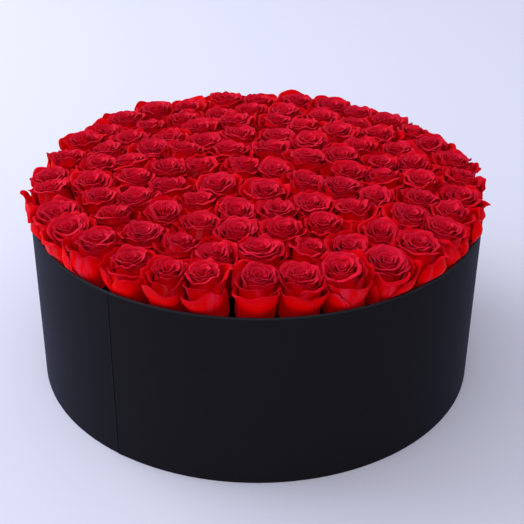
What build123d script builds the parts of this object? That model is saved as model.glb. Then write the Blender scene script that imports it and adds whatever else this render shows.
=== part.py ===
"""A round flower box: a black paper-covered hat box, packed with floral foam and 101 cut roses.

Units are millimetres. The origin is the centre of the underside, +Z is up and the front is towards -Y.
"""
from build123d import *

import math
import os
import random

# Box: a greyboard tube and disc, covered with textured paper
BOX_RADIUS = 250.0  # outside of the cover paper
BOX_HEIGHT = 198.0
PAPER = 0.5  # cover and lining paper
BOARD = 2.5  # greyboard
RIM_ROUND = 1.2  # the cover paper's rounding at the rim's two edges
TURN_IN = 20.0  # cover paper folded down inside the rim
TURN_UNDER = 18.0  # cover paper folded in under the base
BASE_COVER_RADIUS = 240.0
BASE_COVER_STEP = 0.5  # width of the step where the base cover climbs onto the turned-under paper
LINING_DROP = 8.0  # from the rim down to the wall lining's edge
LAP_ANGLE = -124.8  # where the cover paper's free edge lies, degrees from +X
LAP_WIDTH = 15.0
LAP_STEP = 0.4  # how far the free edge stands proud

# Insert: a waterproof liner with cut foam bricks in it
LINER_GAP = 0.5  # between the liner and the lining around it
LINER_WALL = 1.0
LINER_HEIGHT = 121.0
FOAM_GAP = 0.5  # between the foam and the liner's wall
BRICK_LENGTH = 230.0
BRICK_WIDTH = 80.0
BRICK_HEIGHT = 110.0
BRICK_JOINT = 0.2  # gap between two bricks

# Roses, in rings from the middle pair outwards
RING_COUNTS = (2, 7, 14, 20, 26, 32)
RING_FIRST_ANGLES = (171.0, -82.0, -104.0, -97.0, -88.0, -90.0)
MIDDLE_RING_RADIUS = 21.0
FIRST_RING_RADIUS = 57.0
OUTER_RING_RADIUS = 224.0
LEAST_PITCH = 41.4  # how near two heads come to each other
SCATTER = 2.2  # how far a rose strays from its ring before the heads settle
SETTLED = 1e-6  # overlap that no longer moves two heads apart
SEED = 101
CROWN_HEIGHT = 233.0  # height at which the ring radii and the pitch hold
HEAD_BASE_HEIGHT = 177.0  # underside of the petals in the outer ring
DOME_RISE = 8.0  # how much higher the heads stand in the middle
HEIGHT_SCATTER = 2.0
OUTER_LEAN = 4.5  # degrees outwards, in the outer ring
UPRIGHT_RADIUS = 30.0  # inside this radius the roses stand upright
HEAD_RADIUS = 19.9
HEAD_HEIGHT = 57.0
HEAD_BELLY = 0.45  # share of its height at which the head is widest
HEAD_FOOT_PULL = (0.85, 0.15)  # how full the head is below its belly, as shares of its radius and height
HEAD_TOP_PULL = (0.7, 0.88)  # the same above its belly
HEAD_SEAT_RADIUS = 7.0  # where the petals sit on the calyx
CALYX_HEIGHT = 11.0
CALYX_RADIUS = 6.4
CALYX_BELLY = 0.45  # share of its height, from the top, at which it has that radius
STEM_RADIUS = 3.0
STEM_FOOT_HEIGHT = 48.0  # height of the cut ends, inside the foam
STEM_HOLE_GAP = 0.05

# Heights and radii that follow
BOARD_UNDERSIDE = 2 * PAPER  # the boards stand on the turned-under paper and the base cover
FLOOR_HEIGHT = BOARD_UNDERSIDE + BOARD + PAPER  # top of the paper that lines the floor
BOARD_RADIUS = BOX_RADIUS - PAPER
BORE_RADIUS = BOARD_RADIUS - BOARD
LINING_RADIUS = BORE_RADIUS - PAPER  # inside of one layer of paper
MOUTH_RADIUS = LINING_RADIUS - PAPER  # inside of the lining where it covers the turn-in
LINER_RADIUS = MOUTH_RADIUS - LINER_GAP
LINER_BORE = LINER_RADIUS - LINER_WALL
FOAM_RADIUS = LINER_BORE - FOAM_GAP
FOAM_BASE_HEIGHT = FLOOR_HEIGHT + LINER_WALL


def turned(points, corner_rounds=()):
    """A ring or disc turned about Z from (radius, height) corners; corner_rounds pairs corners with radii."""
    outline = make_face(Polyline(*points, close=True))
    for corner, rounding in corner_rounds:
        x, y = points[corner]
        vertex = outline.vertices().sort_by_distance((x, y, 0))[0]
        outline = fillet(vertex, rounding)
    return revolve(Plane.XZ * outline, Axis.Z)


def polar(radius, degrees):
    angle = math.radians(degrees)
    return (radius * math.cos(angle), radius * math.sin(angle))


def wall_board():
    low, high = BOARD_UNDERSIDE, BOX_HEIGHT - PAPER
    points = [(BORE_RADIUS, low), (BOARD_RADIUS, low), (BOARD_RADIUS, high), (BORE_RADIUS, high)]
    rounding = RIM_ROUND - PAPER
    return turned(points, [(2, rounding), (3, rounding)])


def base_board():
    return Pos(0, 0, BOARD_UNDERSIDE) * extrude(Circle(BORE_RADIUS), BOARD)


def wrap_lap():
    """The cover paper's free edge: a wedge that starts with a step and runs into the cover's surface."""
    degrees = math.degrees(LAP_WIDTH / BOX_RADIUS)
    start, middle, end = LAP_ANGLE, LAP_ANGLE + degrees / 2, LAP_ANGLE + degrees
    root = BOX_RADIUS - PAPER / 2
    highest, lowest = BOX_RADIUS + LAP_STEP, BOX_RADIUS - PAPER / 5
    proud = ThreePointArc(
        polar(highest, start),
        polar((highest + lowest) / 2, middle),
        polar(lowest, end),
    )
    back = ThreePointArc(polar(root, end), polar(root, middle), polar(root, start))
    section = make_face([proud, Line(proud @ 1, back @ 0), back, Line(back @ 1, proud @ 0)])
    return Pos(0, 0, PAPER) * extrude(section, BOX_HEIGHT - RIM_ROUND - PAPER)


def outer_wrap():
    """Cover paper: up the outside, over the rim and down inside, and folded in under the base."""
    fold_edge = BOX_RADIUS - TURN_UNDER
    points = [
        (fold_edge, PAPER),
        (BOX_RADIUS, PAPER),
        (BOX_RADIUS, BOX_HEIGHT),
        (LINING_RADIUS, BOX_HEIGHT),
        (LINING_RADIUS, BOX_HEIGHT - TURN_IN),
        (BORE_RADIUS, BOX_HEIGHT - TURN_IN),
        (BORE_RADIUS, BOX_HEIGHT - PAPER),
        (BOARD_RADIUS, BOX_HEIGHT - PAPER),
        (BOARD_RADIUS, BOARD_UNDERSIDE),
        (fold_edge, BOARD_UNDERSIDE),
    ]
    inside_rounding = RIM_ROUND - PAPER
    rounds = [(2, RIM_ROUND), (3, RIM_ROUND), (6, inside_rounding), (7, inside_rounding)]
    return turned(points, rounds) + wrap_lap()


def base_cover():
    """Paper disc under the base. Its rim lies on the turned-under paper and is what the box stands on."""
    fold_edge = BOX_RADIUS - TURN_UNDER
    inner_edge = fold_edge - BASE_COVER_STEP
    return turned(
        [
            (0, PAPER),
            (inner_edge, PAPER),
            (inner_edge, 0),
            (BASE_COVER_RADIUS, 0),
            (BASE_COVER_RADIUS, PAPER),
            (fold_edge, PAPER),
            (fold_edge, BOARD_UNDERSIDE),
            (0, BOARD_UNDERSIDE),
        ]
    )


def wall_lining():
    """Lining paper on the tube's inside, jogged inwards where it covers the cover paper's turn-in."""
    turn_in_edge = BOX_HEIGHT - TURN_IN
    top = BOX_HEIGHT - LINING_DROP
    return turned(
        [
            (LINING_RADIUS, FLOOR_HEIGHT),
            (BORE_RADIUS, FLOOR_HEIGHT),
            (BORE_RADIUS, turn_in_edge),
            (LINING_RADIUS, turn_in_edge),
            (LINING_RADIUS, top),
            (MOUTH_RADIUS, top),
            (MOUTH_RADIUS, turn_in_edge - PAPER),
            (LINING_RADIUS, turn_in_edge - PAPER),
        ]
    )


def floor_lining():
    return Pos(0, 0, FLOOR_HEIGHT - PAPER) * extrude(Circle(BORE_RADIUS), PAPER)


def waterproof_liner():
    top = FLOOR_HEIGHT + LINER_HEIGHT
    return turned(
        [
            (0, FLOOR_HEIGHT),
            (LINER_RADIUS, FLOOR_HEIGHT),
            (LINER_RADIUS, top),
            (LINER_BORE, top),
            (LINER_BORE, FOAM_BASE_HEIGHT),
            (0, FOAM_BASE_HEIGHT),
        ],
        [(1, LINER_WALL)],
    )


def settled(points):
    """Pushes rose centres apart until no two are nearer than the pitch and none is past the outer ring."""
    too_near = True
    while too_near:
        too_near = False
        for i, a in enumerate(points):
            for b in points[i + 1:]:
                dx, dy = b[0] - a[0], b[1] - a[1]
                distance = math.hypot(dx, dy)
                if distance < LEAST_PITCH - SETTLED:
                    push = 0.5 * (LEAST_PITCH - distance) / distance
                    a[0], a[1] = a[0] - push * dx, a[1] - push * dy
                    b[0], b[1] = b[0] + push * dx, b[1] + push * dy
                    too_near = True
            radius = math.hypot(a[0], a[1])
            if radius > OUTER_RING_RADIUS + SETTLED:
                a[0], a[1] = a[0] * OUTER_RING_RADIUS / radius, a[1] * OUTER_RING_RADIUS / radius
                too_near = True
    return points


def rose_places():
    """One list of placements for each ring. A placement puts the underside of a rose's petals in the box."""
    chance = random.Random(SEED)
    ring_step = (OUTER_RING_RADIUS - FIRST_RING_RADIUS) / (len(RING_COUNTS) - 2)
    points, rings = [], []
    for ring, (count, first_angle) in enumerate(zip(RING_COUNTS, RING_FIRST_ANGLES)):
        radius = FIRST_RING_RADIUS + (ring - 1) * ring_step if ring else MIDDLE_RING_RADIUS
        for k in range(count):
            x, y = polar(radius, first_angle + 360.0 * k / count)
            points.append([x + chance.uniform(-SCATTER, SCATTER), y + chance.uniform(-SCATTER, SCATTER)])
            rings.append(ring)
    places = [[] for _ in RING_COUNTS]
    for ring, (x, y) in zip(rings, settled(points)):
        radius = math.hypot(x, y)
        outwardness = max(0.0, (radius - UPRIGHT_RADIUS) / (OUTER_RING_RADIUS - UPRIGHT_RADIUS))
        lean = math.radians(OUTER_LEAN * outwardness)
        axis = Vector(math.sin(lean) * x / radius, math.sin(lean) * y / radius, math.cos(lean))
        rise = DOME_RISE * (1 - (radius / OUTER_RING_RADIUS) ** 2)
        base_height = HEAD_BASE_HEIGHT + rise + chance.uniform(-HEIGHT_SCATTER, HEIGHT_SCATTER)
        base = Vector(x, y, CROWN_HEIGHT) - axis * ((CROWN_HEIGHT - base_height) / axis.Z)
        places[ring].append(Plane(origin=base, z_dir=axis))
    return places


def rose_head():
    """The petals as one barrel-shaped bloom, standing on Z = 0."""
    belly = (HEAD_RADIUS, HEAD_BELLY * HEAD_HEIGHT)
    foot_wide, foot_high = HEAD_FOOT_PULL[0] * HEAD_RADIUS, HEAD_FOOT_PULL[1] * HEAD_HEIGHT
    top_wide, top_high = HEAD_TOP_PULL[0] * HEAD_RADIUS, HEAD_TOP_PULL[1] * HEAD_HEIGHT
    cup = Bezier((HEAD_SEAT_RADIUS, 0), (foot_wide, 0), (HEAD_RADIUS, foot_high), belly)
    crown = Bezier(belly, (HEAD_RADIUS, top_high), (top_wide, HEAD_HEIGHT), (0, HEAD_HEIGHT))
    outline = make_face([cup, crown, Line((0, HEAD_HEIGHT), (0, 0)), Line((0, 0), (HEAD_SEAT_RADIUS, 0))])
    return revolve(Plane.XZ * outline, Axis.Z)


def calyx():
    """The green seat of the petals, from the stem's end up to Z = 0."""
    side = Spline(
        (STEM_RADIUS, -CALYX_HEIGHT),
        (CALYX_RADIUS, -CALYX_BELLY * CALYX_HEIGHT),
        (HEAD_SEAT_RADIUS, 0),
        tangents=[(0, 1), (0.5, 1)],
    )
    outline = make_face(
        [
            side,
            Line((HEAD_SEAT_RADIUS, 0), (0, 0)),
            Line((0, 0), (0, -CALYX_HEIGHT)),
            Line((0, -CALYX_HEIGHT), (STEM_RADIUS, -CALYX_HEIGHT)),
        ]
    )
    return revolve(Plane.XZ * outline, Axis.Z)


def stem_length(place):
    return (place.origin.Z - STEM_FOOT_HEIGHT) / place.z_dir.Z - CALYX_HEIGHT


def stem(place, radius=STEM_RADIUS, beyond=0.0):
    """A cut stem below the calyx, at its place; beyond lengthens it upwards."""
    length = stem_length(place)
    return place.location * Pos(0, 0, -CALYX_HEIGHT - length) * extrude(Circle(radius), length + beyond)


def foam_bricks(places):
    """Upright bricks in seven rows from front to back, cut to the liner's circle, with a hole per stem."""
    half = BRICK_LENGTH / 2
    reach = half + BRICK_LENGTH
    rows = (
        ("front_edge", {"": (-half, half)}),
        ("front", {"_left": (-BRICK_LENGTH, 0), "_right": (0, BRICK_LENGTH)}),
        ("mid_front", {"_left": (-BRICK_LENGTH, 0), "_right": (0, BRICK_LENGTH)}),
        ("middle", {"_left": (-reach, -half), "_centre": (-half, half), "_right": (half, reach)}),
        ("mid_back", {"_left": (-BRICK_LENGTH, 0), "_right": (0, BRICK_LENGTH)}),
        ("back", {"_left": (-BRICK_LENGTH, 0), "_right": (0, BRICK_LENGTH)}),
        ("back_edge", {"": (-half, half)}),
    )
    holes = [stem(place, STEM_RADIUS + STEM_HOLE_GAP, beyond=CALYX_HEIGHT) for place in places]
    round_block = Pos(0, 0, FOAM_BASE_HEIGHT) * extrude(Circle(FOAM_RADIUS), BRICK_HEIGHT)
    bricks = {}
    for n, (row, spans) in enumerate(rows):
        y = (n - len(rows) // 2) * BRICK_WIDTH
        for side, (left, right) in spans.items():
            blank = extrude(Rectangle(right - left - BRICK_JOINT, BRICK_WIDTH - BRICK_JOINT), BRICK_HEIGHT)
            brick = (Pos((left + right) / 2, y, FOAM_BASE_HEIGHT) * blank) & round_block
            room = brick.bounding_box()
            for hole in holes:
                if room.overlaps(hole.bounding_box()):
                    brick = brick - hole
            bricks[f"foam_{row}{side}"] = brick
    return bricks


def roses(places):
    """Heads, calyces and stems: the middle pair one by one, and the other rings a ring to a node."""
    head, seat = rose_head(), calyx()
    groups = {"middle_rose_left": places[0][:1], "middle_rose_right": places[0][1:]}
    groups.update({f"rose_ring_{ring}": places[ring] for ring in range(1, len(places))})
    nodes = {}
    for name, group in groups.items():
        nodes[f"{name}_heads" if len(group) > 1 else f"{name}_head"] = [p.location * head for p in group]
        nodes[f"{name}_calyces" if len(group) > 1 else f"{name}_calyx"] = [p.location * seat for p in group]
        nodes[f"{name}_stems" if len(group) > 1 else f"{name}_stem"] = [stem(p) for p in group]
    return nodes


def main():
    places = rose_places()
    nodes = {
        "wall_board": wall_board(),
        "base_board": base_board(),
        "outer_wrap": outer_wrap(),
        "base_cover": base_cover(),
        "wall_lining": wall_lining(),
        "floor_lining": floor_lining(),
        "waterproof_liner": waterproof_liner(),
    }
    nodes.update(foam_bricks([place for ring in places for place in ring]))
    nodes.update(roses(places))
    os.makedirs("parts", exist_ok=True)
    for name, shape in nodes.items():
        solids = shape if isinstance(shape, list) else [shape]
        export_step(Compound(children=[s for part in solids for s in part.solids()]), f"parts/{name}.step")


main()
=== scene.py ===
"""The looks of the round flower box.

101 roses are grown petal by petal where the CAD model's stems stand, and the black box, its liner and its
foam get their finishes. All lengths are in metres.
"""
import math

import bpy
import numpy as np
from mathutils import Matrix, Vector


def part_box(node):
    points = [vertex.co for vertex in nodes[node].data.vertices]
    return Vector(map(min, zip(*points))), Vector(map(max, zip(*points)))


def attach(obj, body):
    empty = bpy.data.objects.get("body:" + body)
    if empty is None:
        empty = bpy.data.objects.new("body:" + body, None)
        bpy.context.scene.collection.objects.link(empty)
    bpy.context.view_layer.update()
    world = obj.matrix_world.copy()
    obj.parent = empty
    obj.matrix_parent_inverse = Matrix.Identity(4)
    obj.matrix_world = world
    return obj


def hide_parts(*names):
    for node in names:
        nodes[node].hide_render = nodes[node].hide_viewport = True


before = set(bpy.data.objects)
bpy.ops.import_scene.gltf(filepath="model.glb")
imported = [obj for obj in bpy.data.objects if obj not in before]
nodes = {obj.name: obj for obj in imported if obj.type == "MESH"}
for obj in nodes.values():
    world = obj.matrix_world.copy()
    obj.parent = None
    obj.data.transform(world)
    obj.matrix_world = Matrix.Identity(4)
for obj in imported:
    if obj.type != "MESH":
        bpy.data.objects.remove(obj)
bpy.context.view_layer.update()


def width_and_height(node):
    """How wide and how high a CAD node is."""
    low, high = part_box(node)
    return high.x - low.x, high.z - low.z


SEED = 101
RINGS = 5  # rings of roses round the middle pair
MIDDLE_ROSES = ("middle_rose_left", "middle_rose_right")

# Sizes that the frame gives
BOX_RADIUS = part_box("outer_wrap")[1].x
RIM_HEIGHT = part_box("outer_wrap")[1].z
RIM_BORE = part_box("wall_lining")[1].x
FOAM_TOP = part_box("foam_middle_centre")[1].z
HEAD_WIDTH, HEAD_HEIGHT = width_and_height("middle_rose_left_head")
HEAD_RADIUS = HEAD_WIDTH / 2
CALYX_WIDTH, SEAT_HEIGHT = width_and_height("middle_rose_left_calyx")
CALYX_RADIUS = CALYX_WIDTH / 2
STEM_RADIUS = width_and_height("middle_rose_left_stem")[0] / 2

# Petals
PETALS = 26
PETAL_COLUMNS = 23
PETAL_ROWS = 15
PETAL_THICKNESS = 0.0004
GOLDEN_ANGLE = math.radians(137.5)
HEAD_TILT = math.radians(7.0)  # most that a flower tips off its stem's line
GUARDS = 5  # outermost petals, which reflex most and fill the gaps between the heads
SWELL_TOP = 0.25  # share of a petal's length by which the cup has its full width
CORNER_DROP = 0.15  # how much shorter than its middle a petal is at its rounded corners
TIP_WIDTH = 0.25  # of the point at a petal's end, as a share of half the petal's width
FOLD_WIDTH = 0.18  # of the fold down a guard petal, as the same share
LEAST_PETAL_RADIUS = 0.0006  # keeps the innermost petals off the rose's axis

# The room that a rose has between its neighbours
NEIGHBOUR_REACH = 4 * HEAD_RADIUS  # roses farther off than this don't limit each other
LEAST_FACING = 0.05  # cosine from which a neighbour counts as facing a direction
FREE_ROOM = 1.8 * HEAD_RADIUS  # how far a petal may reach where no neighbour stands
CROWDED_ROOM = 1.25 * HEAD_RADIUS  # room up to which a side doesn't count as free
FREE_SHARE = 0.92  # share of the room that petals take up before they are squeezed
PRESSED_SHARE = 1.12  # most that squeezed petals take up, pressing into the next rose
GUARD_SPREAD = 0.005  # how far a guard petal may spread towards a neighbour
FREE_SPREAD = 0.010  # how much farther a guard petal spreads on a free side
OUTER_RING_WIDTH = 1.9 * HEAD_RADIUS  # band inside the wall where the outermost roses stand
RIM_CLEARANCE = 0.0015  # between the petals and the wall
RIM_SOFTNESS = 0.005  # stretch over which the petals are turned aside from the wall
OVERHANG = 2.0  # how far petals may reach out for each unit above the rim

# Stems
STEM_COLUMNS = 14
FREE_ROWS = 26  # rows of points on the part above the foam
CUT_ROWS = 4  # rows of points on the cut end, from its middle to its edge
CUT_SLANT = 0.8  # rise of the slanting cut for each unit across
CUT_TOP = 0.006  # height above the foot by which the cut has ended
STEM_BEND = 0.0025  # how far a stem bows between the foam and its flower
STEM_NODES = 3  # swollen leaf joints above the foam
NODE_SWELLING = 0.13  # share of the radius
NODE_LENGTH = 0.0022
STEM_RIBS = 5
RIB_DEPTH = 0.03  # share of the radius
THORNS = 4
THORN_COLUMNS = 7
THORN_RADIUS = 0.0011
THORN_MARK = 0.35  # what cut_face says on thorns, between bark (0) and a cut face (1)

# Calyces and sepals
CALYX_ROWS = 11
CALYX_COLUMNS = 20
SEPALS = 5
SEPAL_COLUMNS = 5
SEPAL_ROWS = 12
SEPAL_THICKNESS = 0.0004
SEPAL_HALF_WIDTH = 0.0036
SEPAL_POINT = 0.00012  # half width of a sepal's tip

# Meshes
POINT_RADIUS = 0.00005  # what a closed tube narrows to at its ends
LEAST_STEP = 0.00001  # between rows of points that would otherwise coincide
NEAR_ZERO = 1e-12  # keeps divisors off zero
INSET = 0.001  # how deep inside a neighbouring piece a hidden row of points lies

# Finishes
LAP_ANGLE = math.radians(-124.8)  # where the cover paper's edge runs down the wall
LAP_BAND = 0.01  # width of the strip that the lap's painted shadow and painted highlight are drawn in
RIM_HIGHLIGHT_BAND = 0.002  # height of the strip below the rim that gets a painted highlight

# Light
SKY_BRIGHTEST = (-0.62, -0.20, 0.76)  # from above, from the left and a little from the front
SKY_DARK = (0.10, 0.10, 0.12)
SKY_BRIGHT = (0.97, 0.99, 1.13)
LIT_POINT = (0.0, 0.0, 0.1)


def smooth(x, low, high):
    """Smoothstep of x from 0 at low to 1 at high."""
    t = np.clip((x - low) / (high - low), 0.0, 1.0)
    return t * t * (3.0 - 2.0 * t)


def peak(x, middle, width):
    """A bell of height 1 about the middle."""
    return np.exp(-(((x - middle) / width) ** 2))


# ---------------------------------------------------------------- where the roses stand


def end_centres(points):
    """Centres of the loose rings of points: points nearer than half a head's radius belong together."""
    left = np.unique(points.round(6), axis=0)
    centres = []
    while len(left):
        near = np.linalg.norm(left[:, :2] - left[0, :2], axis=1) < HEAD_RADIUS / 2
        centres.append(left[near].mean(axis=0))
        left = left[~near]
    return centres


def stem_axes(node):
    """(foot, top) of every stem in a CAD node, read from its mesh."""
    mesh = nodes[node].data
    points = np.empty(len(mesh.vertices) * 3)
    mesh.vertices.foreach_get("co", points)
    points = points.reshape(-1, 3)
    middle = (points[:, 2].min() + points[:, 2].max()) / 2
    feet = end_centres(points[points[:, 2] < middle])
    tops = end_centres(points[points[:, 2] > middle])
    return [(foot, min(tops, key=lambda top: np.linalg.norm(top[:2] - foot[:2]))) for foot in feet]


class Rose:
    """One rose: where it stands, which CAD nodes it stands for and which body it rides on."""

    def __init__(self, name, body, kind, foot, top):
        self.name, self.body, self.kind = name, body, kind
        self.foot, self.top = foot, top
        self.axis = (top - foot) / np.linalg.norm(top - foot)
        self.seat = top + SEAT_HEIGHT * self.axis
        self.crown = self.seat + HEAD_HEIGHT * self.axis
        across = np.cross([0.0, 1.0, 0.0], self.axis)
        across /= np.linalg.norm(across)
        self.basis = np.stack([across, np.cross(self.axis, across), self.axis])

    def placed(self, points):
        """Points in the rose's own frame, with the seat as origin, moved to the box's frame."""
        return self.seat + points @ self.basis


def all_roses():
    """The middle pair, each on a body of its own, and then the rings, which ride on the insert."""
    roses = []
    for name in MIDDLE_ROSES:
        roses += [Rose(name, name, name, foot, top) for foot, top in stem_axes(f"{name}_stem")]
    for ring in range(1, RINGS + 1):
        for n, (foot, top) in enumerate(stem_axes(f"rose_ring_{ring}_stems"), 1):
            roses.append(Rose(f"rose_ring_{ring}_number_{n:02d}", "insert", f"rose_ring_{ring}", foot, top))
    return roses


def room_about(rose, roses, angles):
    """How far the rose may spread in each direction before it meets its neighbours."""
    room = np.full(angles.shape, FREE_ROOM)
    for other in roses:
        away = (other.crown - rose.crown) @ rose.basis.T
        distance = math.hypot(away[0], away[1])
        if 0 < distance < NEIGHBOUR_REACH:
            facing = np.cos(angles - math.atan2(away[1], away[0]))
            halfway = distance / 2 / np.maximum(facing, LEAST_FACING)
            room = np.where(facing > LEAST_FACING, np.minimum(room, halfway), room)
    return room


def looseness(rose):
    """How loosely the guard petals hang: up to 1 along the box's sides, and 0 elsewhere."""
    out = np.hypot(*rose.seat[:2])
    if out < BOX_RADIUS - OUTER_RING_WIDTH:
        return 0.0
    # How much of the way out goes to the side, and how much to the back
    sideways, backwards = abs(rose.seat[0]) / out, rose.seat[1] / out
    return float(smooth(sideways, 0.4, 0.75) * (1.0 - smooth(backwards, 0.2, 0.6)))


# ---------------------------------------------------------------- petals


def petal_table(chance, loose):
    """The measures of each petal of one rose, from the innermost to the outermost.

    outward runs from 0 at the innermost petal to 1 at the outermost, and guard from 0 to 1 over the guards.
    Most measures start from a size that fits the petal's place and vary about it by chance.
    """
    order = np.arange(PETALS)
    outward = order / (PETALS - 1)
    guard = smooth(order, PETALS - GUARDS - 1.5, PETALS - 0.5)
    spread = chance.uniform(0.97, 1.06)
    openness = chance.uniform(0.0, 1.0)

    def vary(amount):
        return chance.uniform(-amount, amount, PETALS)

    rise = chance.uniform(0.86, 0.94) + 0.03 * openness + 0.08 * smooth(outward, 0, 0.30)
    reach = spread * HEAD_RADIUS * (0.07 + 0.97 * outward ** (1.0 - 0.3 * openness))
    narrowed = 1 - 0.38 * loose * guard
    return {
        "outward": outward,
        "guard": guard,
        "angle": order * GOLDEN_ANGLE + vary(0.25) + chance.uniform(0, 2 * math.pi),
        # How far round the rose the petal wraps to each side
        "half_width": np.radians(150.0 - 64.0 * outward**0.6) * (1 + vary(0.10)) * narrowed,
        # The cup: how wide and high it is, and how much lower it ends at its sides
        "radius": reach * (1 + vary(0.015)),
        "height": HEAD_HEIGHT * (rise - 0.08 * outward**2.2 - 0.05 * guard + vary(0.022)),
        "side_drop": 0.04 + 0.03 * guard,
        # How much of the top turns out and how far, and how far the petal leans in below that
        "lip_share": 0.05 + 0.07 * outward + 0.12 * guard + vary(0.02),
        "lip_turn": np.radians(20.0 + 12.0 * openness + 80.0 * outward**0.7) * (1 + vary(0.35)),
        "inward": np.radians(19.0 - 8.0 * openness - 14.0 * outward - 8.0 * guard) * (1 + vary(0.3)),
        # The point at the lip, and the fold that runs down from it
        "tip": 0.0024 * outward * (1 + vary(0.6)),
        "tip_at": vary(0.3),
        "fold": (0.0012 + 0.0022 * loose) * guard * (1 + vary(1.0)),
        # Slow waves, and how much one side stands farther out than the other
        "wave": 0.0013 * (0.3 + outward + 0.5 * guard) * (1 + vary(0.6)),
        "wave_turn": vary(math.pi),
        "twist": 0.0004 * (1 + vary(0.8)) + 0.0005 * (1 - outward) ** 2,
        # What all the petals of a rose share: how oval it is and which way, and about which tone it has
        "oval": np.full(PETALS, chance.uniform(0.0, 0.05)),
        "oval_turn": np.full(PETALS, chance.uniform(0.0, math.pi)),
        "tone": np.clip(0.5 + chance.uniform(-0.3, 0.3) + vary(0.25), 0, 1),
        # Fine ruffles along the lip and creases over the whole petal
        "ruffle": 0.00035 * (0.5 + outward) * (1 + vary(0.7)),
        "ruffle_turn": vary(math.pi),
        "crease": 0.00022 * (0.2 + outward + loose * guard) * (1 + vary(0.6)),
        # How much of the room taken at its middle a loose petal gives back at its top
        "closing": loose * chance.uniform(0.35, 1.0, PETALS),
    }


def petal_profile(each, across, along):
    """Radius and height over every petal: a cup that swells, leans in and turns its lip out."""
    root_radius = (0.12 + 0.14 * each["outward"]) * HEAD_RADIUS
    corner = (0.3 + 0.7 * each["outward"]) * (1.0 - np.sqrt(1.0 - np.abs(across) ** 4))
    length = each["height"] * (1.0 - each["side_drop"] * np.abs(across) ** 3 - CORNER_DROP * corner)
    length = length + each["tip"] * peak(across, each["tip_at"], TIP_WIDTH)
    lip_start = 1.0 - each["lip_share"] * (1.0 - 0.35 * across**2)
    lip = each["lip_turn"] * (1.0 - 0.3 * across**2) * smooth(along, lip_start, 1.02)
    upright = smooth(along, lip_start - 0.05, lip_start + 0.05)
    lean = each["inward"] * smooth(along, 0.35, 0.75) * (1.0 - upright)
    step = np.diff(along, axis=2, prepend=0.0)
    swell = 1.0 - (1.0 - np.clip(along / SWELL_TOP, 0, 1)) ** 2
    swell_step = np.diff(swell, axis=2, prepend=0.0) * (each["radius"] - root_radius)
    sideways = np.clip(np.abs(swell_step) / np.maximum(step * length, NEAR_ZERO), 0, 0.95)
    radius = root_radius + np.cumsum(swell_step + length * step * (np.sin(lip) - np.sin(lean)), axis=2)
    height = np.cumsum(length * step * np.cos(lip) * np.sqrt(1.0 - sideways**2), axis=2)
    return radius, height * (each["height"] / height.max(axis=(1, 2), keepdims=True))


def petal_relief(each, across, along):
    """How far waves, a fold, ruffles and creases shift every petal outwards and upwards.

    The factor of across in a sine or cosine says how many radians a wave turns between a petal's middle and
    its side.
    """
    wave, wave_turn = each["wave"] * along**3, each["wave_turn"]
    ruffle, ruffle_turn = each["ruffle"] * smooth(along, 0.70, 1.0), each["ruffle_turn"]
    outwards = each["twist"] * across
    outwards = outwards + wave * np.sin(3.1 * across + wave_turn)
    outwards = outwards + 0.45 * wave * np.sin(9.0 * across + 5.0 * along + 3.0 * wave_turn)
    outwards = outwards + each["fold"] * smooth(along, 0.5, 1.0) * peak(across, each["tip_at"], FOLD_WIDTH)
    outwards = outwards + ruffle * np.sin(11.0 * across + ruffle_turn + 1.5 * np.sin(3.0 * across))
    outwards = outwards + each["crease"] * np.sin(10.0 * across + 3.0 * ruffle_turn + 1.5 * along)
    upwards = wave * np.cos(4.3 * across + 2.0 * wave_turn)
    upwards = upwards + 0.4 * wave * np.sin(11.0 * across + 5.0 * wave_turn)
    upwards = upwards + ruffle * np.cos(13.0 * across + 2.0 * ruffle_turn)
    return outwards, upwards


def petal_sheets(table):
    """Mid-surfaces of a rose's petals as (petal, column, row, xyz), with across and along for every point.

    across runs from -1 to 1 between a petal's sides, and along from 0 at its root to 1 at its lip.
    """
    across = np.linspace(-1.0, 1.0, PETAL_COLUMNS)[None, :, None]
    along = (1.0 - (1.0 - np.linspace(0.0, 1.0, PETAL_ROWS)) ** 1.5)[None, None, :]
    each = {key: value[:, None, None] for key, value in table.items()}
    radius, height = petal_profile(each, across, along)
    outwards, upwards = petal_relief(each, across, along)
    narrowing = 1.0 - 0.3 * each["outward"] * smooth(along, 0.6, 1.15)
    outline = (0.5 + 0.5 * smooth(along, 0.0, 0.5)) * narrowing
    angle = each["angle"] + across * each["half_width"] * outline
    radius = (radius + outwards) * (1.0 + each["oval"] * np.cos(2.0 * (angle - each["oval_turn"])))
    radius = np.maximum(radius, LEAST_PETAL_RADIUS)
    sheets = np.stack([radius * np.cos(angle), radius * np.sin(angle), height + upwards], axis=-1)
    return sheets, np.broadcast_to(across, angle.shape), np.broadcast_to(along, angle.shape)


def widened(points, scale):
    """Points moved away from the z axis, each by its own scale."""
    return points * np.stack([scale, scale, np.ones_like(scale)], axis=-1)


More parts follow.
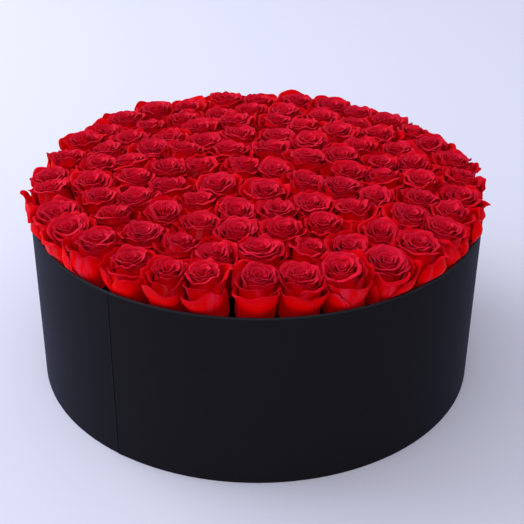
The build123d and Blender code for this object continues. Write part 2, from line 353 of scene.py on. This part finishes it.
def pressed(sheets, across, along, table, rose, roses):
    """Spreads the guard petals over the room between the neighbours, and squeezes every petal into it."""
    guard, closing = table["guard"][:, None, None], table["closing"][:, None, None]
    radius = np.hypot(sheets[..., 0], sheets[..., 1])
    room = room_about(rose, roses, np.arctan2(sheets[..., 1], sheets[..., 0]))
    free_side = smooth(room, CROWDED_ROOM, FREE_ROOM)
    loose = looseness(rose)
    spreading = guard * smooth(along, 0.35 - 0.3 * loose, 0.95 - 0.25 * loose)
    spreading = spreading * (1.0 - (0.8 - 0.5 * loose) * np.abs(across) ** 3)
    spreading = spreading * (1.0 - closing * smooth(along, 0.55, 1.0))
    wanted = radius + spreading * np.clip(room - radius, 0.0, GUARD_SPREAD + free_side * FREE_SPREAD)
    share = wanted / room
    most = 1.0 if rose.kind in MIDDLE_ROSES else PRESSED_SHARE
    held = FREE_SHARE + (most - FREE_SHARE) * np.tanh((share - FREE_SHARE) / (most - FREE_SHARE))
    return widened(sheets, np.where(share > FREE_SHARE, held * room, wanted) / np.maximum(radius, NEAR_ZERO))


def inside_rim(points):
    """Keeps the petals off the box's wall: below the rim they stay inside it, above it they may hang over."""
    radius = np.hypot(points[..., 0], points[..., 1])
    above = np.clip(points[..., 2] - RIM_HEIGHT - RIM_CLEARANCE, 0.0, None)
    limit = RIM_BORE - RIM_CLEARANCE + OVERHANG * above
    past = radius - (limit - RIM_SOFTNESS)
    held = limit - RIM_SOFTNESS + RIM_SOFTNESS * np.tanh(past / RIM_SOFTNESS)
    return widened(points, np.where(past > 0.0, held / radius, 1.0))


def thick_shells(sheets, thickness):
    """Closed shells round the mid-surfaces: vertices (petal, side, column, row, xyz)."""
    down = np.gradient(sheets, axis=2)
    sideways = np.gradient(sheets, axis=1)
    normal = np.cross(sideways, down)
    normal /= np.maximum(np.linalg.norm(normal, axis=-1, keepdims=True), NEAR_ZERO)
    half = thickness / 2
    return np.stack([sheets - half * normal, sheets + half * normal], axis=1)


def shell_faces(columns, rows):
    """Quads of one closed shell whose vertices are numbered (side, column, row)."""
    number = np.arange(2 * columns * rows).reshape(2, columns, rows)

    def quads(grid):
        return np.stack([grid[:-1, :-1], grid[1:, :-1], grid[1:, 1:], grid[:-1, 1:]], axis=-1).reshape(-1, 4)

    outer, inner = quads(number[1]), quads(number[0])[:, ::-1]
    rims = [number[:, :, 0], number[::-1, :, -1], number[::-1, 0, :], number[:, -1, :]]
    return np.concatenate([outer, inner] + [quads(rim) for rim in rims])


def mesh_object(name, points, faces, smooth_shading=True, **measures):
    """A mesh of quads; each measure is a number for every vertex, kept as an attribute of that name."""
    mesh = bpy.data.meshes.new(name)
    mesh.vertices.add(len(points))
    mesh.vertices.foreach_set("co", points.astype(np.float32).ravel())
    mesh.loops.add(faces.size)
    mesh.loops.foreach_set("vertex_index", faces.astype(np.int32).ravel())
    mesh.polygons.add(len(faces))
    mesh.polygons.foreach_set("loop_start", np.arange(0, faces.size, faces.shape[1], dtype=np.int32))
    mesh.polygons.foreach_set("use_smooth", np.full(len(faces), smooth_shading))
    mesh.update(calc_edges=True)
    mesh.validate()
    for measure, values in measures.items():
        attribute = mesh.attributes.new(measure, "FLOAT", "POINT")
        attribute.data.foreach_set("value", np.ravel(values).astype(np.float32))
    obj = bpy.data.objects.new(name, mesh)
    bpy.context.scene.collection.objects.link(obj)
    return obj


def finished(obj, material, body, node):
    """Gives a piece its material, puts it on its body and hides the CAD node that it stands in for."""
    obj.data.materials.append(material)
    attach(obj, body)
    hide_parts(node)


def rose_head(rose, roses, material):
    """One flower: its petals as closed shells in one mesh."""
    chance = np.random.default_rng([SEED, roses.index(rose)])
    table = petal_table(chance, looseness(rose))
    sheets, across, along = petal_sheets(table)
    tilt = Matrix.Rotation(HEAD_TILT * chance.uniform(-1, 1), 3, "X")
    tilt = np.array(tilt @ Matrix.Rotation(HEAD_TILT * chance.uniform(-1, 1), 3, "Y"))
    sheets = pressed(sheets @ tilt, across, along, table, rose, roses)
    shells = thick_shells(inside_rim(rose.placed(sheets)), PETAL_THICKNESS)
    per_petal = 2 * PETAL_COLUMNS * PETAL_ROWS
    starts = per_petal * np.arange(PETALS)[:, None, None]
    head = mesh_object(
        f"{rose.name}_head",
        shells.reshape(-1, 3),
        (shell_faces(PETAL_COLUMNS, PETAL_ROWS)[None] + starts).reshape(-1, 4),
        petal_outward=np.repeat(table["outward"], per_petal),
        petal_along=np.stack([along, along], axis=1),
        petal_across=0.5 + 0.5 * np.stack([across, across], axis=1),
        petal_outside=np.stack([np.zeros_like(along), np.ones_like(along)], axis=1),
        petal_tone=np.repeat(table["tone"], per_petal),
    )
    node = f"{rose.kind}_head" if rose.kind in MIDDLE_ROSES else f"{rose.kind}_heads"
    finished(head, material, rose.body, node)


# ---------------------------------------------------------------- stems and sepals


def tube(middles, radii, across=(1.0, 0.0, 0.0)):
    """Points (row, column, xyz) and quads of a tube through middles (row, xyz) with radii (row, column)."""
    columns = radii.shape[1]
    ahead = np.gradient(middles, axis=0)
    ahead /= np.linalg.norm(ahead, axis=1, keepdims=True)
    side = np.cross(ahead, across)
    side /= np.linalg.norm(side, axis=1, keepdims=True)
    other = np.cross(ahead, side)
    turn = np.linspace(0.0, 2 * math.pi, columns, endpoint=False)[None, :, None]
    outwards = np.cos(turn) * side[:, None] - np.sin(turn) * other[:, None]
    points = middles[:, None] + radii[..., None] * outwards
    number = np.arange(len(middles) * columns).reshape(-1, columns)
    following = np.roll(number, -1, axis=1)
    faces = np.stack([number[:-1], following[:-1], following[1:], number[1:]], axis=-1).reshape(-1, 4)
    return points, faces


def joined(parts):
    """One list of points and one of quads from several (points, faces) pairs."""
    flat = [points.reshape(-1, 3) for points, faces in parts]
    starts = np.cumsum([0] + [len(points) for points in flat[:-1]])
    quads = [faces + start for (points, faces), start in zip(parts, starts)]
    return np.concatenate(flat), np.concatenate(quads)


def thorn(root, spin):
    """A thorn that leaves the stem at the root in the direction spin and points down a little."""
    out = np.array([math.cos(spin), math.sin(spin), -0.25])
    steps = np.linspace(0.75, 1.9, 5)[:, None]
    narrowing = THORN_RADIUS * np.array([1.0, 0.65, 0.4, 0.2, POINT_RADIUS / THORN_RADIUS])
    radii = np.repeat(narrowing[:, None], THORN_COLUMNS, axis=1)
    return tube(root + STEM_RADIUS * steps * out, radii, across=(0.0, 0.0, 1.0))


def stem_parts(rose, chance):
    """A cut stem and its thorns in the rose's own frame, as (points, faces) pairs.

    Also gives how much each point is on the cut face.
    """
    length = np.linalg.norm(rose.top - rose.foot)
    foam = length * (FOAM_TOP - rose.foot[2]) / (rose.top[2] - rose.foot[2])
    free = length - foam
    sunk_rises = [0.0] * CUT_ROWS + [CUT_TOP, foam - INSET]
    free_rises = foam + free * np.linspace(0.02, 1.0, FREE_ROWS)
    rises = np.concatenate([sunk_rises, free_rises, [length + INSET]])
    above = np.clip((rises - foam) / free, 0.0, 1.0)
    exposed = np.minimum(above * 8, 1.0)  # full from an eighth of the way between the foam and the flower
    bow = STEM_BEND * chance.uniform(0.3, 1.0) * np.sin(math.pi * above) ** 2
    heading = chance.uniform(0, 2 * math.pi)
    heights = rises - length - SEAT_HEIGHT
    middles = np.stack([bow * math.cos(heading), bow * math.sin(heading), heights], axis=1)
    middles[:CUT_ROWS, 2] += LEAST_STEP * np.arange(CUT_ROWS)
    nodes_at = foam + free * (np.arange(STEM_NODES) + chance.uniform(0.2, 0.7, STEM_NODES)) / STEM_NODES
    swelling = sum(NODE_SWELLING * peak(rises, at, NODE_LENGTH) for at in nodes_at)
    girth = STEM_RADIUS * (1.0 - 0.04 * exposed + swelling)
    girth[:CUT_ROWS] = [POINT_RADIUS, 0.6 * STEM_RADIUS, 0.97 * STEM_RADIUS, STEM_RADIUS]
    girth[-1] = 0.5 * STEM_RADIUS
    turn = np.linspace(0.0, 2 * math.pi, STEM_COLUMNS, endpoint=False)[None]
    ribs = 1.0 + RIB_DEPTH * (exposed[:, None] * np.cos(STEM_RIBS * turn) - (above > 0)[:, None])
    points, faces = tube(middles, girth[:, None] * ribs)
    points[:CUT_ROWS, :, 2] += CUT_SLANT * (points[:CUT_ROWS, :, 0] + STEM_RADIUS)
    cut_face = np.zeros(points.shape[:2])
    cut_face[: CUT_ROWS - 1] = 1.0
    parts, marks = [(points, faces)], [cut_face]
    for rise in foam + free * chance.uniform(0.08, 0.85, THORNS):
        root = np.array([np.interp(rise, rises, middles[:, axis]) for axis in range(3)])
        parts.append(thorn(root, chance.uniform(0, 2 * math.pi)))
        marks.append(np.full(parts[-1][0].shape[:2], THORN_MARK))
    return parts, marks


def sepal(chance, first, n):
    """The mid-surface of one sepal, bent back from the calyx, as (column, row, xyz)."""
    across = np.linspace(-1.0, 1.0, SEPAL_COLUMNS)[:, None]
    along = np.linspace(0.0, 1.0, SEPAL_ROWS)[None]
    length = chance.uniform(0.017, 0.024)
    fall = np.radians(20.0 - chance.uniform(70.0, 125.0) * along**0.8)
    step = length / (SEPAL_ROWS - 1)
    radius = 0.93 * CALYX_RADIUS + np.cumsum(step * np.cos(fall), axis=1)
    height = -0.0015 + np.cumsum(step * np.sin(fall), axis=1)
    half_width = SEPAL_HALF_WIDTH * (1.0 - along) ** 0.75 * (0.75 + 0.5 * along) + SEPAL_POINT
    spin = first + 2 * math.pi * n / SEPALS + chance.uniform(-0.12, 0.12)
    sideways = half_width * across
    lifted = height + 0.0009 * across**2 + 0.0004 * np.sin(9 * along + 3 * across + n)
    x = radius * math.cos(spin) - sideways * math.sin(spin)
    y = radius * math.sin(spin) + sideways * math.cos(spin)
    return np.stack([x, y, lifted], axis=-1)


def calyx_parts(chance):
    """The green seat of a rose and its sepals in the rose's own frame, as (points, faces) pairs."""
    rises = np.linspace(0.0, 1.0, CALYX_ROWS)
    girth = STEM_RADIUS * 0.95 + (CALYX_RADIUS - STEM_RADIUS) * smooth(rises, 0.0, 0.45)
    girth = np.concatenate([[POINT_RADIUS], girth, [POINT_RADIUS]])
    middles = np.zeros((CALYX_ROWS + 2, 3))
    middles[:, 2] = np.concatenate([[0.0], rises, [1.0]]) * SEAT_HEIGHT - SEAT_HEIGHT
    middles[0, 2] -= LEAST_STEP
    middles[-1, 2] += INSET
    turn = np.linspace(0.0, 2 * math.pi, CALYX_COLUMNS, endpoint=False)[None]
    parts = [tube(middles, girth[:, None] * (1.0 + RIB_DEPTH * np.cos(SEPALS * turn)))]
    first = chance.uniform(0, 2 * math.pi)
    sepals = np.array([sepal(chance, first, n) for n in range(SEPALS)])
    faces = shell_faces(SEPAL_COLUMNS, SEPAL_ROWS)
    return parts + [(shell, faces) for shell in thick_shells(sepals, SEPAL_THICKNESS)]


def stems_and_sepals(kind, group, bark, leaf):
    """The stems of one CAD node's roses as one piece, and their calyces as another."""
    stems, marks, seats = [], [], []
    for number, rose in enumerate(group):
        chance = np.random.default_rng([SEED, RINGS, len(group), number])
        parts, cut = stem_parts(rose, chance)
        stems += [(rose.placed(points), faces) for points, faces in parts]
        marks += [mark.ravel() for mark in cut]
        seats += [(rose.placed(points), faces) for points, faces in calyx_parts(chance)]
    single = kind in MIDDLE_ROSES
    stem = mesh_object(f"{kind}_cut_stems", *joined(stems), cut_face=np.concatenate(marks))
    finished(stem, bark, group[0].body, f"{kind}_stem" if single else f"{kind}_stems")
    seat = mesh_object(f"{kind}_sepals", *joined(seats))
    finished(seat, leaf, group[0].body, f"{kind}_calyx" if single else f"{kind}_calyces")


# ---------------------------------------------------------------- materials


class Nodes:
    """Short names for building a node tree."""

    def __init__(self, tree):
        self.tree = tree

    def add(self, kind, links=(), **settings):
        """A new node with its settings, and with its inputs fed by name or number."""
        node = self.tree.nodes.new(kind)
        for key, value in settings.items():
            setattr(node, key, value)
        for socket, value in dict(links).items():
            self.feed(node.inputs[socket], value)
        return node

    def feed(self, socket, value):
        """Links an input to another node's output, or sets its value."""
        if isinstance(value, bpy.types.NodeSocket):
            self.tree.links.new(value, socket)
        else:
            socket.default_value = value

    def math(self, operation, *values):
        return self.add("ShaderNodeMath", dict(enumerate(values)), operation=operation).outputs[0]

    def times(self, first, *others):
        """The product of several numbers."""
        for other in others:
            first = self.math("MULTIPLY", first, other)
        return first

    def ramp(self, value, *stops):
        """A colour from a number, by stops of (place, colour)."""
        node = self.add("ShaderNodeValToRGB", {"Fac": value})
        ramp = node.color_ramp
        while len(ramp.elements) < len(stops):
            ramp.elements.new(0.5)
        for element, (place, colour) in zip(ramp.elements, stops):
            element.position = place
            element.color = (*colour, 1.0)
        return node.outputs["Color"]

    def mask(self, value, *stops):
        """A number from a number, by stops of (place, amount)."""
        return self.ramp(value, *((place, (amount, amount, amount)) for place, amount in stops))

    def mix(self, factor, a, b, blend="MIX"):
        """The colour a with the colour b over it, as far as the factor says."""
        node = self.add("ShaderNodeMix", data_type="RGBA", blend_type=blend)
        for socket, value in ((0, factor), (6, a), (7, b)):
            if isinstance(value, tuple):
                value = (*value, 1.0)
            self.feed(node.inputs[socket], value)
        return node.outputs[2]

    def measure(self, name):
        """A measure that mesh_object kept on the vertices."""
        return self.add("ShaderNodeAttribute", attribute_name=name).outputs["Fac"]

    def noise(self, coordinates, scale, detail, roughness=0.5):
        links = {"Vector": coordinates, "Scale": scale, "Detail": detail, "Roughness": roughness}
        return self.add("ShaderNodeTexNoise", links).outputs["Fac"]

    def object_space(self, scale=(1.0, 1.0, 1.0)):
        """Coordinates in metres, stretched where the scale is under 1."""
        where = self.add("ShaderNodeTexCoord").outputs["Object"]
        return self.add("ShaderNodeMapping", {"Vector": where, "Scale": scale}).outputs["Vector"]


class Surface(Nodes):
    """A material: its node tree, and its shader with the inputs that are the same all over."""

    def __init__(self, name, **inputs):
        self.material = bpy.data.materials.new(name)
        self.material.use_nodes = True
        super().__init__(self.material.node_tree)
        self.shader = self.tree.nodes["Principled BSDF"]
        for key, value in inputs.items():
            self.shader.inputs[key.replace("_", " ")].default_value = value

    def paint(self, colour):
        self.feed(self.shader.inputs["Base Color"], colour)

    def bump(self, height, strength, distance):
        node = self.add("ShaderNodeBump", {"Height": height, "Strength": strength, "Distance": distance})
        self.feed(self.shader.inputs["Normal"], node.outputs["Normal"])


def petal_material():
    """Bright red petals with crimson ends, pinkish lips that are partly a painted sheen, streaks of painted
    sheen and pale marks outside, and fine veins.
    """
    m = Surface(
        "rose_petal",
        Roughness=0.6,
        Specular_IOR_Level=0.04,
        Specular_Tint=(1.0, 0.08, 0.18, 1.0),
        Sheen_Weight=0.009,
        Sheen_Roughness=0.45,
        Sheen_Tint=(1.0, 0.1, 0.30, 1.0),
        Subsurface_Weight=0.2,
        Subsurface_Radius=(1.0, 0.15, 0.2),
        Subsurface_Scale=0.003,
    )
    outward, along, across = m.measure("petal_outward"), m.measure("petal_along"), m.measure("petal_across")
    outside, tone = m.measure("petal_outside"), m.measure("petal_tone")

    def on_petal(across_scale, along_scale, layer_scale):
        """Coordinates across and along a petal, which differ from one petal to the next."""
        links = {
            "X": m.times(across, across_scale),
            "Y": m.times(along, along_scale),
            "Z": m.times(outward, layer_scale),
        }
        return m.add("ShaderNodeCombineXYZ", links).outputs["Vector"]

    by_height = m.ramp(
        along, (0.0, (0.99, 0.0, 0.001)), (0.65, (0.98, 0.0, 0.001)), (1.0, (0.36, 0.0, 0.007))
    )
    by_layer = m.ramp(
        outward, (0.0, (0.86, 0.0, 0.002)), (0.72, (0.90, 0.0, 0.001)), (0.90, (0.88, 0.0, 0.0))
    )
    colour = m.mix(0.4, by_height, by_layer)
    # Pinkish lips, mostly on the inner petals: partly the petals' own paler edge, partly a painted sheen
    # where the lips catch the light
    lip = m.times(m.mask(along, (0.84, 0.0), (1.0, 1.0)), m.mask(outward, (0.72, 1.0), (0.92, 0.2)), 0.5)
    colour = m.mix(lip, colour, (0.75, 0.025, 0.085))
    # Pinkish streaks on the outside of the outer petals are a painted sheen; the same streaks also place the
    # pale marks below
    streaks = m.mask(m.noise(on_petal(7.0, 1.0, 90.0), 1.0, 2.0), (0.52, 0.0), (0.68, 1.0))
    on_outside = m.times(outside, m.math("GREATER_THAN", outward, 0.7))
    colour = m.mix(m.times(streaks, on_outside, 0.5), colour, (0.72, 0.045, 0.12))
    pale = m.times(on_outside, m.mask(tone, (0.86, 0.0), (0.94, 0.6)), streaks)
    colour = m.mix(pale, colour, (0.62, 0.20, 0.24))
    colour = m.mix(m.times(tone, 0.25), colour, (0.84, 0.0, 0.002))
    patches = m.mask(m.noise(m.object_space(), 60.0, 3.0), (0.35, 0.0), (0.7, 0.2))
    m.paint(m.mix(patches, colour, (0.70, 0.0, 0.002)))
    m.bump(m.noise(on_petal(36.0, 3.0, 200.0), 1.0, 3.0), 0.5, 0.0006)
    return m.material


def cover_paper():
    """Black grained paper with faint scuffs, a painted shadow and a painted highlight where its edge laps
    over, and a painted highlight just below the rim.
    """
    m = Surface(
        "black_cover_paper",
        Roughness=0.6,
        Specular_IOR_Level=0.02,
        Sheen_Weight=0.045,
        Sheen_Roughness=0.4,
        Sheen_Tint=(0.28, 0.45, 1.0, 1.0),
    )
    where = m.object_space()
    grain = m.noise(where, 900.0, 4.0)
    colour = m.mix(grain, (0.0073, 0.0067, 0.0078), (0.0138, 0.0126, 0.0146))
    place = m.add("ShaderNodeSeparateXYZ", {"Vector": where})
    turned = m.math("ARCTAN2", place.outputs["Y"], place.outputs["X"])
    past_lap = m.times(m.math("SUBTRACT", turned, LAP_ANGLE), BOX_RADIUS)
    across_lap = m.math("MULTIPLY_ADD", past_lap, 1 / LAP_BAND, 0.5)
    # Painted shadow where the paper's edge laps over: a thin darker line down the wall, with a painted
    # highlight beside it
    lap_shadow_and_highlight = m.mask(across_lap, (0.28, 1.0), (0.36, 1.8), (0.42, 0.3), (0.58, 0.3), (0.64, 1.0))
    colour = m.mix(1.0, colour, lap_shadow_and_highlight, "MULTIPLY")
    scuffs = m.mask(m.noise(where, 160.0, 5.0, 0.7), (0.62, 0.0), (0.80, 0.3))
    colour = m.mix(scuffs, colour, (0.022, 0.022, 0.028))
    # Painted highlight: the paper turns lighter towards the top of the rim
    near_rim = m.math("MULTIPLY_ADD", place.outputs["Z"], 1 / RIM_HIGHLIGHT_BAND, 1.0 - RIM_HEIGHT / RIM_HIGHLIGHT_BAND)
    rim_highlight = m.mask(near_rim, (0.25, 0.0), (0.75, 0.75))
    m.paint(m.mix(rim_highlight, colour, (0.030, 0.034, 0.040)))
    m.bump(grain, 0.35, 0.0003)
    return m.material


def plain_material(name, low, high, scale, strength, distance, **inputs):
    """A surface mottled between two colours, for a piece that is mostly hidden."""
    m = Surface(name, **inputs)
    grain = m.noise(m.object_space(), scale, 4.0)
    m.paint(m.mix(grain, low, high))
    m.bump(grain, strength, distance)
    return m.material


def stem_material():
    """Streaked green bark with a red blush, reddish thorns and a pale cut end."""
    m = Surface("rose_stem", Roughness=0.45, Specular_IOR_Level=0.35)
    where = m.object_space((1.0, 1.0, 0.25))
    streaks = m.noise(where, 900.0, 3.0)
    colour = m.mix(streaks, (0.030, 0.085, 0.014), (0.085, 0.19, 0.035))
    blush = m.mask(m.noise(where, 120.0, 2.0), (0.55, 0.0), (0.75, 0.6))
    colour = m.mix(blush, colour, (0.10, 0.035, 0.015))
    cut = m.measure("cut_face")
    on_thorn = m.mask(cut, (0.1, 0.0), (THORN_MARK, 0.8), (0.6, 0.0))
    colour = m.mix(on_thorn, colour, (0.16, 0.05, 0.025))
    pith = m.mask(cut, (0.6, 0.0), (0.95, 1.0))
    m.paint(m.mix(pith, colour, (0.42, 0.50, 0.26)))
    m.bump(streaks, 0.35, 0.0003)
    return m.material


def sepal_material():
    """Mottled green with a red blush."""
    m = Surface("rose_sepal", Roughness=0.55, Specular_IOR_Level=0.3)
    where = m.object_space()
    mottle = m.noise(where, 350.0, 4.0)
    colour = m.mix(mottle, (0.035, 0.10, 0.018), (0.10, 0.22, 0.05))
    blush = m.mask(m.noise(where, 90.0, 2.0), (0.58, 0.0), (0.78, 0.5))
    m.paint(m.mix(blush, colour, (0.16, 0.05, 0.02)))
    m.bump(mottle, 0.4, 0.0003)
    return m.material


def dress(node_names, material):
    """Gives carried-over CAD nodes a material in place of the ones they had."""
    for name in node_names:
        obj = nodes[name]
        obj.data.materials.clear()
        obj.data.materials.append(material)


# ---------------------------------------------------------------- stage


def camera():
    """The view from the front, 30 degrees above the horizon."""
    distance, pitch, roll = 1.2856, math.radians(29.85), math.radians(0.52)
    target = Vector((0.0061, 0.0, 0.1159))
    data = bpy.data.cameras.new("camera")
    data.lens, data.sensor_width = 76.16, 36.0
    obj = bpy.data.objects.new("camera", data)
    forward = Vector((0.0, math.cos(pitch), -math.sin(pitch)))
    turn = forward.to_track_quat("-Z", "Y").to_matrix() @ Matrix.Rotation(roll, 3, "Z")
    obj.matrix_world = Matrix.Translation(target - distance * forward) @ turn.to_4x4()
    bpy.context.scene.collection.objects.link(obj)
    bpy.context.scene.camera = obj


def floor():
    """A pale floor that reaches far enough to fill the view from any side."""
    size = 60.0
    corners = np.array([[-size, -size, 0.0], [size, -size, 0.0], [size, size, 0.0], [-size, size, 0.0]])
    obj = mesh_object("studio_floor", corners, np.array([[0, 1, 2, 3]]), smooth_shading=False)
    m = Surface("studio_floor", Base_Color=(0.725, 0.725, 0.80, 1.0), Roughness=0.8, Specular_IOR_Level=0.1)
    obj.data.materials.append(m.material)


def lamp(name, place, size, power, colour):
    """A round soft lamp that points at the box."""
    data = bpy.data.lights.new(name, "AREA")
    data.shape, data.size, data.energy, data.color = "DISK", size, power, colour
    obj = bpy.data.objects.new(name, data)
    obj.location = place
    obj.rotation_mode = "QUATERNION"
    obj.rotation_quaternion = (Vector(LIT_POINT) - Vector(place)).to_track_quat("-Z", "Y")
    bpy.context.scene.collection.objects.link(obj)


def sky():
    """A soft sky, bright towards SKY_BRIGHTEST and dark on the other side."""
    world = bpy.data.worlds.new("studio")
    world.use_nodes = True
    m = Nodes(world.node_tree)
    direction = m.add("ShaderNodeTexCoord").outputs["Generated"]
    facing = m.add("ShaderNodeVectorMath", {0: direction, 1: SKY_BRIGHTEST}, operation="DOT_PRODUCT")
    share = m.add("ShaderNodeMapRange", {"Value": facing.outputs["Value"], "From Min": -1.0})
    colour = m.ramp(share.outputs["Result"], (0.0, SKY_DARK), (1.0, SKY_BRIGHT))
    m.feed(world.node_tree.nodes["Background"].inputs["Color"], colour)
    bpy.context.scene.world = world


def studio():
    """The light, and colours shown as they are."""
    bpy.context.scene.view_settings.view_transform = "Standard"
    sky()
    lamp("key", place=(-2.4, 0.9, 1.5), size=2.8, power=58.0, colour=(0.93, 0.98, 1.14))
    lamp("fill", place=(0.3, -2.2, 2.6), size=2.5, power=11.0, colour=(1.0, 0.97, 0.95))


# ---------------------------------------------------------------- making


camera()
floor()
studio()

petals = petal_material()
roses = all_roses()
for rose in roses:
    rose_head(rose, roses, petals)

dress(["outer_wrap", "base_cover"], cover_paper())
lining = plain_material(
    "lining_paper",
    low=(0.014, 0.014, 0.017),
    high=(0.022, 0.022, 0.026),
    scale=700.0,
    strength=0.2,
    distance=0.0002,
    Roughness=0.7,
)
dress(["wall_lining", "floor_lining"], lining)
board = plain_material(
    "greyboard",
    low=(0.24, 0.22, 0.19),
    high=(0.36, 0.34, 0.30),
    scale=400.0,
    strength=0.3,
    distance=0.0003,
    Roughness=0.85,
)
dress(["wall_board", "base_board"], board)
plastic = plain_material(
    "black_plastic",
    low=(0.006, 0.008, 0.007),
    high=(0.010, 0.012, 0.011),
    scale=60.0,
    strength=0.05,
    distance=0.0005,
    Roughness=0.36,
    Specular_IOR_Level=0.28,
)
dress(["waterproof_liner"], plastic)
foam = plain_material(
    "floral_foam",
    low=(0.03, 0.11, 0.035),
    high=(0.06, 0.19, 0.06),
    scale=1200.0,
    strength=0.8,
    distance=0.0006,
    Roughness=0.95,
)
dress([name for name in nodes if name.startswith("foam_")], foam)

bark, leaf = stem_material(), sepal_material()
for kind in dict.fromkeys(rose.kind for rose in roses):
    stems_and_sepals(kind, [rose for rose in roses if rose.kind == kind], bark, leaf)
